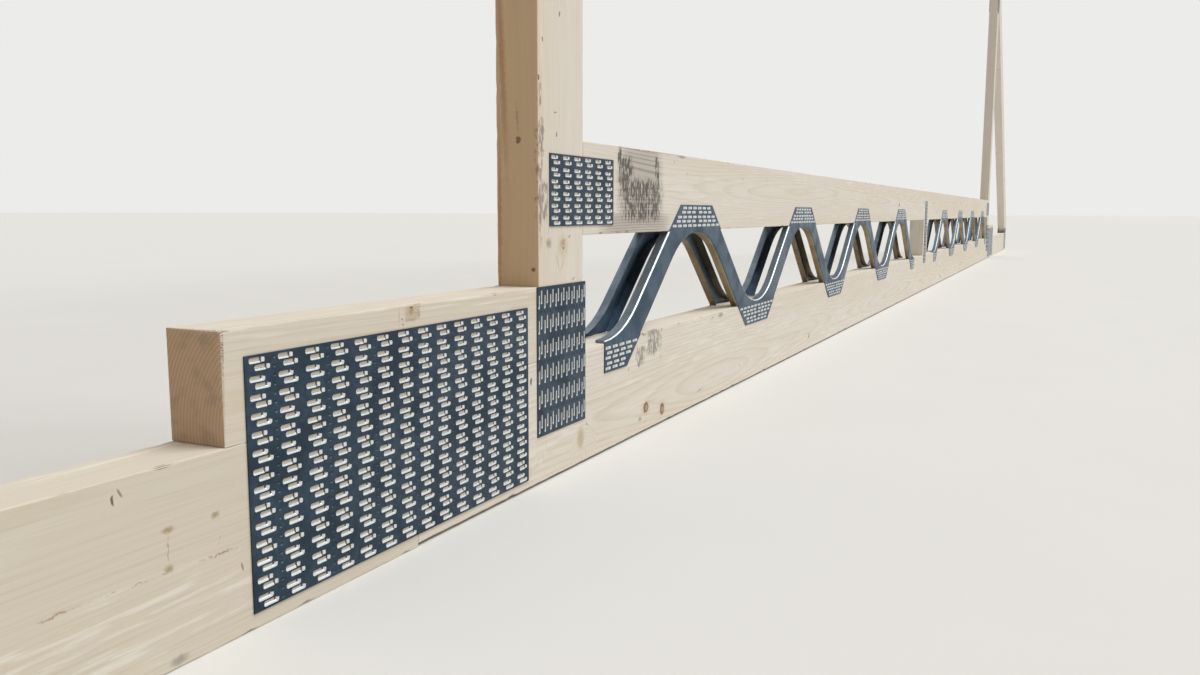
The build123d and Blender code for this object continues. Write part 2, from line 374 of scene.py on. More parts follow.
def spruce(name, marks, weathering):
    """Sawn spruce with marks of several kinds, weathered by a share from 0 to 1."""
    material, tree, shader = new_material(name)
    grain = add(tree, ATTRIBUTE, {"attribute_name": "grain"}).outputs["Vector"]
    knot_away, knot_colour = scattered(tree, grain, KNOT_CELLS)
    knot_far = add(tree, VECTOR_MATHS, LENGTH, [knot_away])
    late = growth_rings(tree, grain, knot_far)
    tone = stretched_noise(tree, grain, TONE_RATES, 3.0)
    fibre = stretched_noise(tree, grain, FIBRE_RATES, 3.0)
    pores = stretched_noise(tree, grain, PORE_RATES, 2.0)
    raised = stretched_noise(tree, grain, RAISED_RATES, 4.0)
    patch = stretched_noise(tree, grain, PATCH_RATES, 3.0)
    saw = stretched_noise(tree, grain, SAW_RATES, 2.0)
    early = add(tree, MIX, COLOURS, [weathering, SPRUCE_EARLY, WEATHERED])
    ring_strength = add(tree, MAP_RANGE, SMOOTH, [tone, 0.3, 0.7, 0.3, 0.8])
    ring_strength = add(tree, MATHS, TIMES, [late, ring_strength])
    colour = add(tree, MIX, COLOURS, [ring_strength, early, SPRUCE_LATE])
    colour = laid_over(tree, colour, SPRUCE_FIBRE, fibre, 0.46, 0.78, 0.5)
    colour = laid_over(tree, colour, SPRUCE_WARM, tone, 0.42, 0.75, 0.42)
    fuzz = add(tree, MAP_RANGE, SMOOTH, [raised, 0.5, 0.68, 0.0, 0.5])
    fuzz = add(tree, MATHS, TIMES, [fuzz, add(tree, MAP_RANGE, SMOOTH, [patch, 0.42, 0.62])])
    colour = add(tree, MIX, COLOURS, [fuzz, colour, SPRUCE_FUZZ])
    colour = add(tree, MIX, COLOURS, [add(tree, MATHS, TIMES, [nicks(tree, grain), 0.8]), colour, NICK])
    knot_chance = MARKED_KNOT_CHANCE if marks else PLAIN_KNOT_CHANCE
    colour = draw_knots(tree, colour, grain, knot_far, knot_colour, knot_chance)
    colour = draw_marks(tree, colour, marks, late)
    for kind, strength in MOULD_STRENGTH.items():
        if kind in marks:
            colour = draw_mould(tree, colour, marks[kind], strength)
    wear = add(tree, ATTRIBUTE, {"attribute_name": "wear"}).outputs["Fac"]
    torn = add(tree, MATHS, TIMES, [wear, add(tree, MAP_RANGE, SMOOTH, [pores, 0.4, 0.62])])
    colour = add(tree, MIX, COLOURS, [torn, colour, TORN])
    height = 0.0
    for field, share in ((fibre, 0.6), (saw, 0.5), (pores, 0.4)):
        height = add(tree, MATHS, TIMES_PLUS, [field, share, height])
    bump = add(tree, BUMP, None, {"Strength": 0.35, "Distance": 0.25 * MM, "Height": height})
    give(tree, shader, {"Base Color": colour, "Normal": bump,
                        "Roughness": SPRUCE_ROUGHNESS, "IOR": SPRUCE_IOR})
    return material


# %% [markdown]
# These are the marks that the front of the nearest timbers shows, each set where it is seen.

# %% Marks of each timber
POST_SIDE = -2850.0
TIMBER_MARKS = {
    "bottom_chord_left": {
        "olive": [oval(-3309.7, 88.2, 11.0, 5.5), oval(-3310.7, 64.4, 9.0, 6.0),
                  oval(-3273.0, 87.2, 8.0, 5.0)],
        "streak": [front_streak(-3398.7, 62.8, -3369.6, 63.1, 2.2),
                   front_streak(-3290.9, 61.4, -3249.6, 60.6, 2.0),
                   front_streak(-3370.0, 63.0, -3291.0, 61.6, 0.9),
                   front_streak(-3309.9, 86.0, -3310.6, 67.0, 1.6),
                   front_streak(-3269.3, 73.7, -3271.5, 66.5, 1.6)],
        "speck": [oval(-3346.0, 115.8, 2.2, 8.0)],
        "smudge": [oval(-3306.2, 5.1, 16.0, 7.0)],
    },
    "bottom_chord_centre": {
        "halo": [oval(-2569.1, 31.2, 34.0, 24.0), oval(-2513.8, 19.5, 30.0, 24.0),
                 oval(-2755.6, 29.8, 22.0, 30.0)],
        "knot": [oval(-2569.1, 31.2, 17.0, 15.0), oval(-2513.8, 19.5, 15.0, 17.0)],
        "heart": [oval(-2567.6, 30.6, 10.0, 9.0), oval(-2512.4, 19.0, 8.5, 10.0)],
        "smudge": [oval(-2588.1, 19.8, 14.0, 7.0), oval(-2276.4, 122.4, 30.0, 9.0),
                   oval(-2755.6, 29.8, 16.0, 25.0)],
        "speck": [front_streak(-2322.0, 119.0, -2306.0, 126.0, 1.8),
                  front_streak(-2382.0, 20.6, -2348.0, 21.4, 1.6), oval(-2866.3, 109.7, 6.0, 9.0),
                  front_streak(-1716.0, 21.0, -1697.0, 34.0, 5.0)],
        "faint mould": [oval(-2545.0, 113.0, 62.0, 40.0), oval(-2588.0, 100.0, 34.0, 32.0),
                        front_streak(-2600.0, 127.0, -2510.0, 127.5, 5.0)],
    },
    "floor_chord": {
        "mould": [front_streak(-2654.0, 356.0, -2650.0, 312.0, 14.0), oval(-2636.0, 320.0, 50.0, 60.0),
                  oval(-2586.0, 292.0, 150.0, 66.0), front_streak(-2543.0, 356.0, -2534.0, 296.0, 17.0)],
        "wash": [oval(-2628.0, 316.0, 64.0, 70.0), oval(-2600.0, 264.0, 230.0, 30.0),
                 oval(-2590.0, 306.0, 150.0, 120.0)],
        "smudge": [oval(-2452.7, 351.0, 40.0, 5.0)],
        "streak": [front_streak(-2700.0, 352.0, -2400.0, 352.5, 2.4)],
    },
    "post_left": {
        "halo": [oval(-2797.0, 242.0, 28.0, 30.0), front_streak(-2812.4, 238.0, -2804.5, 214.0, 4.5),
                 front_streak(-2790.5, 236.0, -2804.0, 213.0, 4.5)],
        "smudge": [oval(-2828.0, 246.0, 14.0, 12.0), oval(-2797.0, 244.0, 15.0, 11.0)],
        "heart": [oval(-2796.0, 246.5, 9.0, 7.0)],
        "speck": [oval(-2839.9, 445.2, 3.0, 7.0), oval(-2803.2, 475.7, 3.0, 8.0),
                  oval(-2847.4, 407.4, 3.0, 6.0), oval(-2810.6, 356.2, 3.0, 7.0),
                  oval(-2796.3, 240.0, 5.0, 4.0)],
        "faint mould": [front_streak(-2845.0, 420.0, -2846.0, 235.0, 10.0),
                        oval(-2836.0, 287.0, 16.0, 50.0), oval(-2842.0, 345.0, 12.0, 60.0)],
        # Painted shade: a tan over the whole left side of the post
        "tan": [(Vector((POST_SIDE, 0.0, 800.0)) * MM, Vector((1.0, 60.0, 2500.0)) * MM, (0, 0, 0))],
        "band": [streak((POST_SIDE, 22.0, 560.0), (POST_SIDE, 11.4, 300.0), 9.0),
                 streak((POST_SIDE, 20.0, 400.0), (POST_SIDE, 21.0, 130.0), 5.0),
                 streak((POST_SIDE, -14.0, 1500.0), (POST_SIDE, -8.0, 700.0), 8.0)],
        "streak": [streak((POST_SIDE, 0.9, 389.8), (POST_SIDE, -1.6, 348.2), 3.0)],
        "knot": [streak((POST_SIDE, -1.4, 352.0), (POST_SIDE, -1.8, 344.0), 6.0),
                 streak((POST_SIDE, -17.9, 223.0), (POST_SIDE, -17.9, 218.0), 5.0)],
    },
    "block_left": {
        "halo": [oval(-3061.5, 197.0, 26.0, 16.0)],
        "wash": [oval(-3061.5, 196.0, 20.0, 14.0)],
        "streak": [front_streak(-3052.4, 201.4, -3052.8, 189.4, 3.2),
                   front_streak(-3078.1, 202.0, -3078.1, 186.0, 1.4)],
        "olive": [oval(-3062.7, 198.0, 8.0, 8.0)],
        "speck": [oval(-3062.2, 200.8, 3.0, 2.4), oval(-3074.7, 192.5, 2.4, 2.4),
                  oval(-3074.3, 188.5, 2.4, 2.4), oval(-3074.2, 184.2, 2.4, 2.8)],
    },
}
WEATHERED_SHARE = {"bottom_chord_left": 0.55, "block_left": 0.4}
sawn_spruce = spruce("sawn spruce", {}, 0.0)
marked_spruce = {node: spruce("sawn spruce " + node, marks, WEATHERED_SHARE.get(node, 0.0))
                 for node, marks in TIMBER_MARKS.items()}
print("spruce rings every", RING_SPACING / MM, "mm,", len(marked_spruce), "timbers with marks of their own")

# %% [markdown]
# End grain drinks in water and dirt, so a sawn end is browner and duller than a face. It uses
# the same rings, which turn into arcs there, with clouds of dirt and a fine grit.

# %% Spruce end grain
END_PALE = linear("#C4A688")
END_RING = linear("#9F8265")
END_DIRT = linear("#8D7C6C")
END_ROUGHNESS = 0.85
END_RINGS = {"wave_type": "RINGS", "rings_direction": "X", "wave_profile": "SIN"}
# Changes to the metre, for clouds of about 17 mm and grit of 1.1 mm
END_CLOUD_RATE, END_GRIT_RATE = 60.0, 900.0


def end_grain(name):
    """The brown, dull end of a sawn timber."""
    material, tree, shader = new_material(name)
    grain = add(tree, ATTRIBUTE, {"attribute_name": "grain"}).outputs["Vector"]
    rings = add(tree, WAVE, END_RINGS, {
        "Vector": grain, "Scale": RING_WAVE_SCALE, "Distortion": 1.6, "Detail": 2.0, "Detail Scale": 0.12})
    cloud = add(tree, NOISE, None, {"Vector": grain, "Scale": END_CLOUD_RATE, "Detail": 4.0})
    grit = add(tree, NOISE, None, {"Vector": grain, "Scale": END_GRIT_RATE, "Detail": 2.0})
    ring_cover = add(tree, MATHS, TIMES, [rings.outputs["Fac"], 0.55])
    colour = add(tree, MIX, COLOURS, [ring_cover, END_PALE, END_RING])
    colour = laid_over(tree, colour, END_DIRT, cloud, 0.45, 0.75, 0.6)
    bump = add(tree, BUMP, None, {"Strength": 0.5, "Distance": 0.3 * MM, "Height": grit})
    give(tree, shader, {"Base Color": colour, "Normal": bump, "Roughness": END_ROUGHNESS, "IOR": SPRUCE_IOR})
    return material


spruce_end = end_grain("spruce end grain")

# %% [markdown]
# Galvanised steel
#
# The plates are cut from hot-dip galvanised strip. The zinc has dulled to slate blue, with a
# faint cloud of crystals, and the webs are a little bluer. At the teeth and the lips of the
# slots the sheared metal is bright, and their near-white is also a painted highlight. The
# rolled edges of the webs get a less glossy painted highlight where they point up. The webs'
# flanges carry a painted reflection: paler blue-grey where they face up, tan of the timber underneath.

# %% Steel
# The base of a sheet, its darker patches, and its paler crystals
PLATE_ZINC = [linear(code) for code in ("#3B4A59", "#313E4A", "#516374")]
WEB_ZINC = [linear(code) for code in ("#40566A", "#35485A", "#567088")]
# Painted reflections: the flanges paler where they face the sky, tan where they face the timber
FLANGE_SKY_REFLECTION_ZINC = [linear(code) for code in ("#77838F", "#616D79", "#8E99A4")]
UNDER_TIMBER_REFLECTION_ZINC = [linear(code) for code in ("#A8987C", "#8A7B62", "#BFB095")]
# Near-white zinc: bright sheared metal, and also a painted highlight
ZINC_BRIGHT = linear("#EDF2F4")
ZINC_SCUFF = linear("#95A0AA")
# The slits beside the teeth are painted shade: a dark colour where the hole lies in shadow
SLIT_SHADE_DARK = linear("#54463A")
SLIT_SHADE_BROWN = linear("#75624F")
SLIT_SHADE_ROUGHNESS = 0.95
# Changes to the metre, for crystals of about 4 mm, dull patches of 36 mm, scuffs and grit of 1.4 mm
CRYSTAL_RATE, DULL_RATE, SCUFF_RATE, SLIT_SHADE_GRIT_RATE = 260.0, 28.0, 700.0, 800.0


def galvanised(name, colours, roughness):
    """Dull zinc with paler crystals, and with darker patches that are less smooth."""
    material, tree, shader = new_material(name)
    base, dark, pale = colours
    where = add(tree, COORDINATES).outputs["Object"]
    crystals = add(tree, VORONOI, None, {"Vector": where, "Scale": CRYSTAL_RATE})
    grey = add(tree, "ShaderNodeRGBToBW", None, [crystals.outputs["Color"]])
    patches = add(tree, NOISE, None, {"Vector": where, "Scale": DULL_RATE, "Detail": 4.0})
    colour = laid_over(tree, base, pale, grey, 0.2, 0.8, 0.35)
    colour = laid_over(tree, colour, dark, patches, 0.4, 0.68, 0.7)
    rough = add(tree, MAP_RANGE, SMOOTH, [patches, 0.3, 0.7, roughness - 0.07, roughness + 0.09])
    give(tree, shader, {"Base Color": colour, "Roughness": rough, "Metallic": 1.0})
    return material


def highlighted_zinc(name, colour, roughness):
    """Bright zinc with a few grey scuffs; its near-white is in part a painted highlight."""
    material, tree, shader = new_material(name)
    where = add(tree, COORDINATES).outputs["Object"]
    scuffs = add(tree, NOISE, None, {"Vector": where, "Scale": SCUFF_RATE, "Detail": 2.0})
    tint = laid_over(tree, colour, ZINC_SCUFF, scuffs, 0.35, 0.7, 0.25)
    give(tree, shader, {"Base Color": tint, "Metallic": 1.0, "Roughness": roughness})
    return material


def painted_slit_shade(name):
    """Painted shade for the dark slit beside each tooth, where it went into the wood."""
    material, tree, shader = new_material(name)
    where = add(tree, COORDINATES).outputs["Object"]
    grit = add(tree, NOISE, None, {"Vector": where, "Scale": SLIT_SHADE_GRIT_RATE, "Detail": 2.0})
    colour = add(tree, MIX, COLOURS, [grit, SLIT_SHADE_DARK, SLIT_SHADE_BROWN])
    give(tree, shader, {"Base Color": colour, "Roughness": SLIT_SHADE_ROUGHNESS})
    return material


plate_steel = galvanised("galvanised nail plate", PLATE_ZINC, 0.42)
web_steel = galvanised("galvanised web strip", WEB_ZINC, 0.4)
flange_sky_reflection_steel = galvanised("galvanised web flange with painted sky reflection", FLANGE_SKY_REFLECTION_ZINC, 0.42)
under_timber_reflection_steel = galvanised("galvanised flange underside with painted timber reflection", UNDER_TIMBER_REFLECTION_ZINC, 0.45)
# The teeth and lips are bright sheared metal, and their near-white is also a painted highlight
bright_zinc = highlighted_zinc("bright cut zinc with painted highlight", ZINC_BRIGHT, 0.3)
# A painted highlight for the rolled web edges that point up
edge_highlight_zinc = highlighted_zinc("painted highlight on web edge", ZINC_BRIGHT, 0.46)
tooth_slit_shade = painted_slit_shade("painted shade of tooth slit")
print("materials", [m.name for m in bpy.data.materials])

# %% [markdown]
# Timber
#
# A timber is a plain cut length, so its own mesh is sewn together and its flat faces are made
# whole. Then it is cut across into short stations, and its edges are bevelled. A bevel of one
# width would look machined, so at each station the bevel's points are moved in or out from the
# sharp edge they came from: most stay small, and now and then a splinter is torn away. A wear
# attribute tells the material where. The grain attribute runs along the timber, each one is
# cut from another place in another log, and the ends get the end-grain material.

# %% Timber pieces
EASED_EDGE = 1.0 * MM
STATION = 9.0 * MM
SHARP_ANGLE = radians(20)
# How far a bevel's points go from the sharp edge, and how much farther where a splinter is torn away
WEAR_WIDTHS, TORN_WIDTHS = (0.5, 1.3), (0.8, 2.0)
TORN_SHARE = 0.06
WEAR_SHOWS_FROM = 1.2
END_FACE_COSINE = 0.6
ROOF_PITCH = radians(40)
LOG_SEED = 7
LOG_LENGTH = 20.0
# The pith's usual distance from a timber's middle, across the face and through the thickness
PITH_ACROSS, PITH_THROUGH = (50 * MM, 90 * MM), (30 * MM, 70 * MM)
# Height of the pith above a timber's middle, and its distance in front of it
PITH_PLACES = {"bottom_chord_left": (40 * MM, 44 * MM), "bottom_chord_centre": (-46 * MM, 60 * MM),
               "floor_chord": (-4 * MM, 50 * MM), "block_left": (-28 * MM, 72 * MM)}
# How much closer the rings lie than usual
RING_CLOSENESS = {"block_left": 1.2, "floor_chord": 1.4}


def piece_from(bm, name):
    """A finished object at the origin from a bmesh."""
    mesh = bpy.data.meshes.new(name)
    bm.to_mesh(mesh)
    bm.free()
    piece = bpy.data.objects.new(name, mesh)
    bpy.context.scene.collection.objects.link(piece)
    return piece


def sewn(node):
    """A copy of a node's mesh with its loose triangles merged and flat faces made whole."""
    bm = bmesh.new()
    bm.from_mesh(nodes[node].data)
    bmesh.ops.remove_doubles(bm, verts=bm.verts, dist=0.01 * MM)
    bmesh.ops.dissolve_limit(bm, angle_limit=radians(0.5), verts=bm.verts, edges=bm.edges)
    return bm


def along_of(node):
    """The direction of a timber's grain."""
    if node.startswith(("post", "centre_stud")):
        return Vector((0, 0, 1))
    if node == "rafter_left":
        return Vector((cos(ROOF_PITCH), 0, sin(ROOF_PITCH)))
    if node == "rafter_right":
        return Vector((cos(ROOF_PITCH), 0, -sin(ROOF_PITCH)))
    return Vector((1, 0, 0))


def give_grain(piece, node, along, rng):
    """Writes the grain attribute: along, across and through, from a pith beside the timber."""
    through = Vector((0, 1, 0))
    across = through.cross(along)
    low, high = Vector(piece.bound_box[0]), Vector(piece.bound_box[6])
    middle = (low + high) / 2
    shift = rng.uniform(0, LOG_LENGTH)
    pith_across = rng.choice((-1, 1)) * rng.uniform(*PITH_ACROSS)
    pith_through = rng.choice((-1, 1)) * rng.uniform(*PITH_THROUGH)
    pith_across, pith_through = PITH_PLACES.get(node, (pith_across, pith_through))
    closeness = RING_CLOSENESS.get(node, 1.0)
    attribute = piece.data.attributes.new("grain", "FLOAT_VECTOR", "POINT")
    for vertex, value in zip(piece.data.vertices, attribute.data):
        place = vertex.co - middle
        value.vector = (place.dot(along) + shift, (place.dot(across) + pith_across) * closeness,
                        (place.dot(through) + pith_through) * closeness)


def cut_to_stations(bm, along):
    """Cuts across a timber at each station, so that its long edges can wear unevenly."""
    places = [v.co.dot(along) for v in bm.verts]
    first, last = min(places), max(places)
    count = int((last - first) / STATION)
    for index in range(1, count):
        level = first + (last - first) * index / count
        bmesh.ops.bisect_plane(bm, geom=bm.verts[:] + bm.edges[:] + bm.faces[:], dist=0.05 * MM,
                               plane_co=along * level, plane_no=along)


def wear_edges(bm, rng):
    """Bevels the sharp edges, then makes the bevel wider or narrower at each of their points."""
    wear = bm.loops.layers.float.new("wear")
    sharp = [e for e in bm.edges if len(e.link_faces) == 2 and e.calc_face_angle() > SHARP_ANGLE]
    corners = {v: None for e in sharp for v in e.verts}
    nearest = KDTree(len(corners))
    for index, vertex in enumerate(corners):
        nearest.insert(vertex.co, index)
    nearest.balance()
    widths = [rng.uniform(*WEAR_WIDTHS) for _ in corners]
    widths = [w + rng.uniform(*TORN_WIDTHS) if rng.random() < TORN_SHARE else w for w in widths]
    made = bmesh.ops.bevel(bm, geom=sharp, offset=EASED_EDGE, segments=2, profile=0.5, affect="EDGES")
    for vertex in made["verts"]:
        place, index, away = nearest.find(vertex.co)
        if away < 3 * EASED_EDGE:
            vertex.co = place + (vertex.co - place) * widths[index]
    for face in made["faces"]:
        for loop in face.loops:
            _place, index, _away = nearest.find(loop.vert.co)
            loop[wear] = min(max(widths[index] - WEAR_SHOWS_FROM, 0.0), 1.0)


def dress_timber(node, rng):
    """A timber with worn edges and grain, in place of its plain node."""
    bm = sewn(node)
    along = along_of(node)
    cut_to_stations(bm, along)
    wear_edges(bm, rng)
    for face in bm.faces:
        face.normal_update()
        face.smooth = False
        face.material_index = int(abs(face.normal.dot(along)) > END_FACE_COSINE)
    piece = piece_from(bm, "timber_" + node)
    piece.data.materials.append(marked_spruce.get(node, sawn_spruce))
    piece.data.materials.append(spruce_end)
    give_grain(piece, node, along, rng)
    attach(piece, "root")
    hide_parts(node)
    return piece


TIMBERS = ["bottom_chord_centre", "bottom_chord_left", "bottom_chord_right", "block_left",
           "block_right", "post_left", "post_right", "floor_chord", "centre_stud",
           "rafter_left", "rafter_right", "ceiling_tie"]
log_choice = random.Random(LOG_SEED)
timber_pieces = [dress_timber(node, log_choice) for node in TIMBERS]
print("timbers", len(timber_pieces), "faces", sum(len(t.data.polygons) for t in timber_pieces))

# %% [markdown]
# Punched sheet
#
# A nail plate is punched so that each slot's metal is bent back as a tooth and pressed into
# the wood. From outside one sees the slot with wood behind it, the bright bent root of the
# tooth at one end, a slit where the tooth went in, and a bright sheared lip below. The slit is
# painted shade, a thin dark box on the wood, and the near-white of root and lip is partly a
# painted highlight. One small mesh holds those, and Geometry Nodes put it at every slot. Half
# of the rows are punched with a hooked root, whose lip runs on under the slit. The slots of a
# standing plate have a root at the foot, a long slit and a lip beside it. A web's slots have
# a root at each end and a lip above.

# %% The teeth at the ends of a slot
SHEET = 1.0 * MM
SLOT_LENGTH, SLOT_HEIGHT = 14.0 * MM, 4.0 * MM
UPRIGHT_SLOT_HEIGHT = 2.7 * MM
WEB_SLOT_LENGTH, WEB_SLOT_HEIGHT = 14.0 * MM, 3.7 * MM
# Bare sheet between a tooth and its slot's edge
RIM, WEB_RIM = 0.4 * MM, 0.35 * MM
# A bent root from its slot's end inwards, and a sheared lip from its foot up: share of size, depth
ROOT_BEND = ((0.42, 0.05 * MM), (0.76, 0.28 * MM), (0.95, 0.62 * MM), (1.0, SHEET))
LIP_SHEAR = ((1.0, SHEET), (0.75, 0.5 * MM), (0.35, 0.15 * MM))
SLIT_DEPTH = 0.8 * MM
# Both kinds of a nail plate's tooth, then the hooked kind, the plain kind, a standing plate's, a web's
ROOT_WIDTH, SLIT_WIDTH = 2.6 * MM, 1.3 * MM
HOOKED_ROOT_TOP, HOOKED_LIP, HOOKED_SLIT_RISE = 1.1 * MM, 1.7 * MM, 1.8 * MM
HOOKED_HEEL, HOOKED_HEEL_TOP = 1.5 * MM, 0.2 * MM
PLAIN_LIP, PLAIN_HEEL = 1.6 * MM, 0.7 * MM
UPRIGHT_ROOT, UPRIGHT_LIP, UPRIGHT_SLIT = 1.8 * MM, 0.6 * MM, 1.1 * MM
WEB_ROOT, WEB_LIP = 4.0 * MM, 1.1 * MM


def extrude_profile(bm, profile, axis, start, end, material):
    """Adds a closed bar: profile points in the two other axes, swept along one axis."""
    other = [i for i in range(3) if i != axis]
    ends = []
    for place in (start, end):
        ring = []
        for a, b in profile:
            point = [0.0, 0.0, 0.0]
            point[axis] = place
            point[other[0]] = a
            point[other[1]] = b
            ring.append(bm.verts.new(point))
        ends.append(ring)
    faces = [bm.faces.new(ends[0]), bm.faces.new(ends[1])]
    count = len(profile)
    for i in range(count):
        j = (i + 1) % count
        faces.append(bm.faces.new((ends[0][i], ends[0][j], ends[1][j], ends[1][i])))
    for face in faces:
        face.material_index = material
    bmesh.ops.recalc_face_normals(bm, faces=faces)


def add_root(bm, end, width, low, high):
    """The bend where a tooth's metal leaves the sheet, from a slot's end inwards."""
    bend = [(end - share * width, -depth) for share, depth in ROOT_BEND]
    extrude_profile(bm, [(end, 0.0), *bend, (end, -SHEET)], 1, low, high, 0)


def add_lip(bm, edge, height, start, end):
    """The bright sheared wall along a slot's long edge."""
    shear = [(edge + share * height, -depth) for share, depth in LIP_SHEAR]
    extrude_profile(bm, [(edge, 0.0), (edge, -SHEET), *shear], 0, start, end, 0)


def add_slit(bm, start, end, low, high):
    """The cut where the tooth went in, as a thin dark box of painted shade on the wood."""
    slit = [(low, -SHEET), (high, -SHEET), (high, -SLIT_DEPTH), (low, -SLIT_DEPTH)]
    extrude_profile(bm, slit, 0, start, end, 1)


def finish_tooth(bm, name):
    """A tooth's object, with bright zinc for its metal and painted shade for its slit."""
    tooth = piece_from(bm, name)
    tooth.data.materials.append(bright_zinc)
    tooth.data.materials.append(tooth_slit_shade)
    return tooth


def plate_tooth(name, hooked):
    """A nail plate's tooth in the slot's own frame: x along the slot, y up, z out of the sheet."""
    end, top = SLOT_LENGTH / 2, SLOT_HEIGHT / 2
    slit_end = end - ROOT_WIDTH
    slit_start = slit_end - SLIT_WIDTH
    bm = bmesh.new()
    if hooked:
        add_root(bm, end, ROOT_WIDTH, RIM - top, HOOKED_ROOT_TOP)
        add_lip(bm, -top, HOOKED_LIP, RIM - end, end - RIM)
        add_root(bm, -end, -HOOKED_HEEL, RIM - top, HOOKED_HEEL_TOP)
        add_slit(bm, slit_start, slit_end, HOOKED_SLIT_RISE - top, top)
    else:
        add_root(bm, end, ROOT_WIDTH, RIM - top, top - RIM)
        add_lip(bm, -top, PLAIN_LIP, RIM - end, slit_start)
        add_root(bm, -end, -PLAIN_HEEL, RIM - top, top - 2 * RIM)
        add_slit(bm, slit_start, slit_end, RIM - top, top)
    return finish_tooth(bm, name)


def web_tooth(name):
    """A web plate's slot has a root at both ends and a lip above."""
    end, top = WEB_SLOT_LENGTH / 2, WEB_SLOT_HEIGHT / 2
    bm = bmesh.new()
    for side in (1, -1):
        add_root(bm, side * end, side * WEB_ROOT, WEB_RIM - top, top - WEB_RIM)
    add_lip(bm, top, -WEB_LIP, WEB_RIM - end, end - WEB_RIM)
    return finish_tooth(bm, name)


def upright_tooth(name):
    """A standing plate's slot has a root at its foot, a long slit of painted shade and a lip beside it."""
    end, top = SLOT_LENGTH / 2, UPRIGHT_SLOT_HEIGHT / 2
    bm = bmesh.new()
    add_root(bm, end, UPRIGHT_ROOT, RIM - top, top - RIM)
    add_lip(bm, top, -UPRIGHT_LIP, RIM - end, end - RIM)
    add_slit(bm, RIM - end, end - UPRIGHT_ROOT, -top, UPRIGHT_SLIT - top)
    return finish_tooth(bm, name)


plain_tooth = plate_tooth("plain_tooth", False)
hooked_tooth = plate_tooth("hooked_tooth", True)
double_tooth = web_tooth("double_tooth")
tall_tooth = upright_tooth("tall_tooth")
teeth_made = (plain_tooth, hooked_tooth, double_tooth, tall_tooth)
print("tooth faces", [len(tooth.data.polygons) for tooth in teeth_made])

# %% [markdown]
# Between every other pair of cells the die also presses two shallow oval dimples. Their cup
# fills a hole in the sheet, because the sheet's fill can hold holes but no hollows.

# %% The dimple
DIMPLE = (4.4 * MM, 2.4 * MM)
DIMPLE_DEPTH = 0.45 * MM
DIMPLE_SIDES = 8
# The cup's rings from the sheet's back to the dished bottom: share of the dimple's size, height
CUP_RINGS = ((1.0, -SHEET), (1.0, 0.0), (0.5, -DIMPLE_DEPTH))


def dimple_cup(name):
    """A plug the size of the dimple's hole, with a dished top."""
    bm = bmesh.new()
    rings = []
    for share, level in CUP_RINGS:
        ring = []
        for side in range(DIMPLE_SIDES):
            angle = 2 * pi * side / DIMPLE_SIDES
            x, y = share * DIMPLE[0] / 2 * cos(angle), share * DIMPLE[1] / 2 * sin(angle)
            ring.append(bm.verts.new((x, y, level)))
        rings.append(ring)
    bm.faces.new(rings[0])
    bm.faces.new(rings[2])
    for below, above in zip(rings, rings[1:]):
        for i in range(DIMPLE_SIDES):
            j = (i + 1) % DIMPLE_SIDES
            bm.faces.new((below[i], below[j], above[j], above[i]))
    bmesh.ops.recalc_face_normals(bm, faces=bm.faces)
    return piece_from(bm, name)


dimple = dimple_cup("dimple")
print("dimple faces", len(dimple.data.polygons))

# %% [markdown]
# The tree starts from a plain mesh: the sheet's outline as edges, and one loose point at each
# slot's middle, with a turn and a mark for hooked teeth. It draws a rounded rectangle at each
# point, fills the outline round them, gives the sheet its thickness, and adds the teeth.
# Filling a curve keeps the holes open, which a boolean could also do, only slower.

# %% The punching tree
NAMED, INSTANCE = "GeometryNodeInputNamedAttribute", "GeometryNodeInstanceOnPoints"
REALIZE, JOIN = "GeometryNodeRealizeInstances", "GeometryNodeJoinGeometry"
MARK = {"data_type": "BOOLEAN"}
PUNCH_INPUTS = {"Slot Length": "Float", "Slot Height": "Float", "Corner Radius": "Float",
                "Thickness": "Float", "Dimple Length": "Float", "Dimple Height": "Float",
                "Plain Tooth": "Object", "Hooked Tooth": "Object", "Dimple": "Object", "Steel": "Material"}


def open_socket(tree, name, kind, side="INPUT"):
    """Opens a named socket of the whole tree, and tells its identifier."""
    return tree.interface.new_socket(name, in_out=side, socket_type="NodeSocket" + kind).identifier


def split_points(tree, geometry, mark):
    """The points that carry a mark, and the rest."""
    marked = add(tree, NAMED, MARK, {"Name": mark})
    split = add(tree, "GeometryNodeSeparateGeometry", {"domain": "POINT"},
                {"Geometry": geometry, "Selection": marked})
    return split.outputs["Selection"], split.outputs["Inverted"]


def fitted(tree, shape, points, chosen, rotation):
    """A shape put at the chosen ones of some points, and turned."""
    found = add(tree, "GeometryNodeObjectInfo", {"transform_space": "ORIGINAL"}, {"Object": shape})
    return add(tree, INSTANCE, None, {"Points": points, "Selection": chosen,
                                      "Instance": found.outputs["Geometry"], "Rotation": rotation})


def punched_holes(tree, given, middles, dents, rotation):
    """The outlines of the slots and of the dimples' holes, each at its point."""
    slot = add(tree, "GeometryNodeCurvePrimitiveQuadrilateral", {"mode": "RECTANGLE"},
               {"Width": given["Slot Length"], "Height": given["Slot Height"]})
    rounded = add(tree, "GeometryNodeFilletCurve", {"mode": "POLY"},
                  {"Curve": slot, "Count": 1, "Radius": given["Corner Radius"]})
    placed = add(tree, INSTANCE, None, {"Points": middles, "Instance": rounded, "Rotation": rotation})
    slots = add(tree, REALIZE, None, {"Geometry": placed})
    ring = add(tree, "GeometryNodeCurvePrimitiveCircle", {"mode": "RADIUS"},
               {"Resolution": DIMPLE_SIDES, "Radius": 0.5})
    ring_size = add(tree, COMBINE, None, {"X": given["Dimple Length"], "Y": given["Dimple Height"], "Z": 1.0})
    rings = add(tree, INSTANCE, None,
                {"Points": dents, "Instance": ring, "Rotation": rotation, "Scale": ring_size})
    return slots, add(tree, REALIZE, None, {"Geometry": rings})


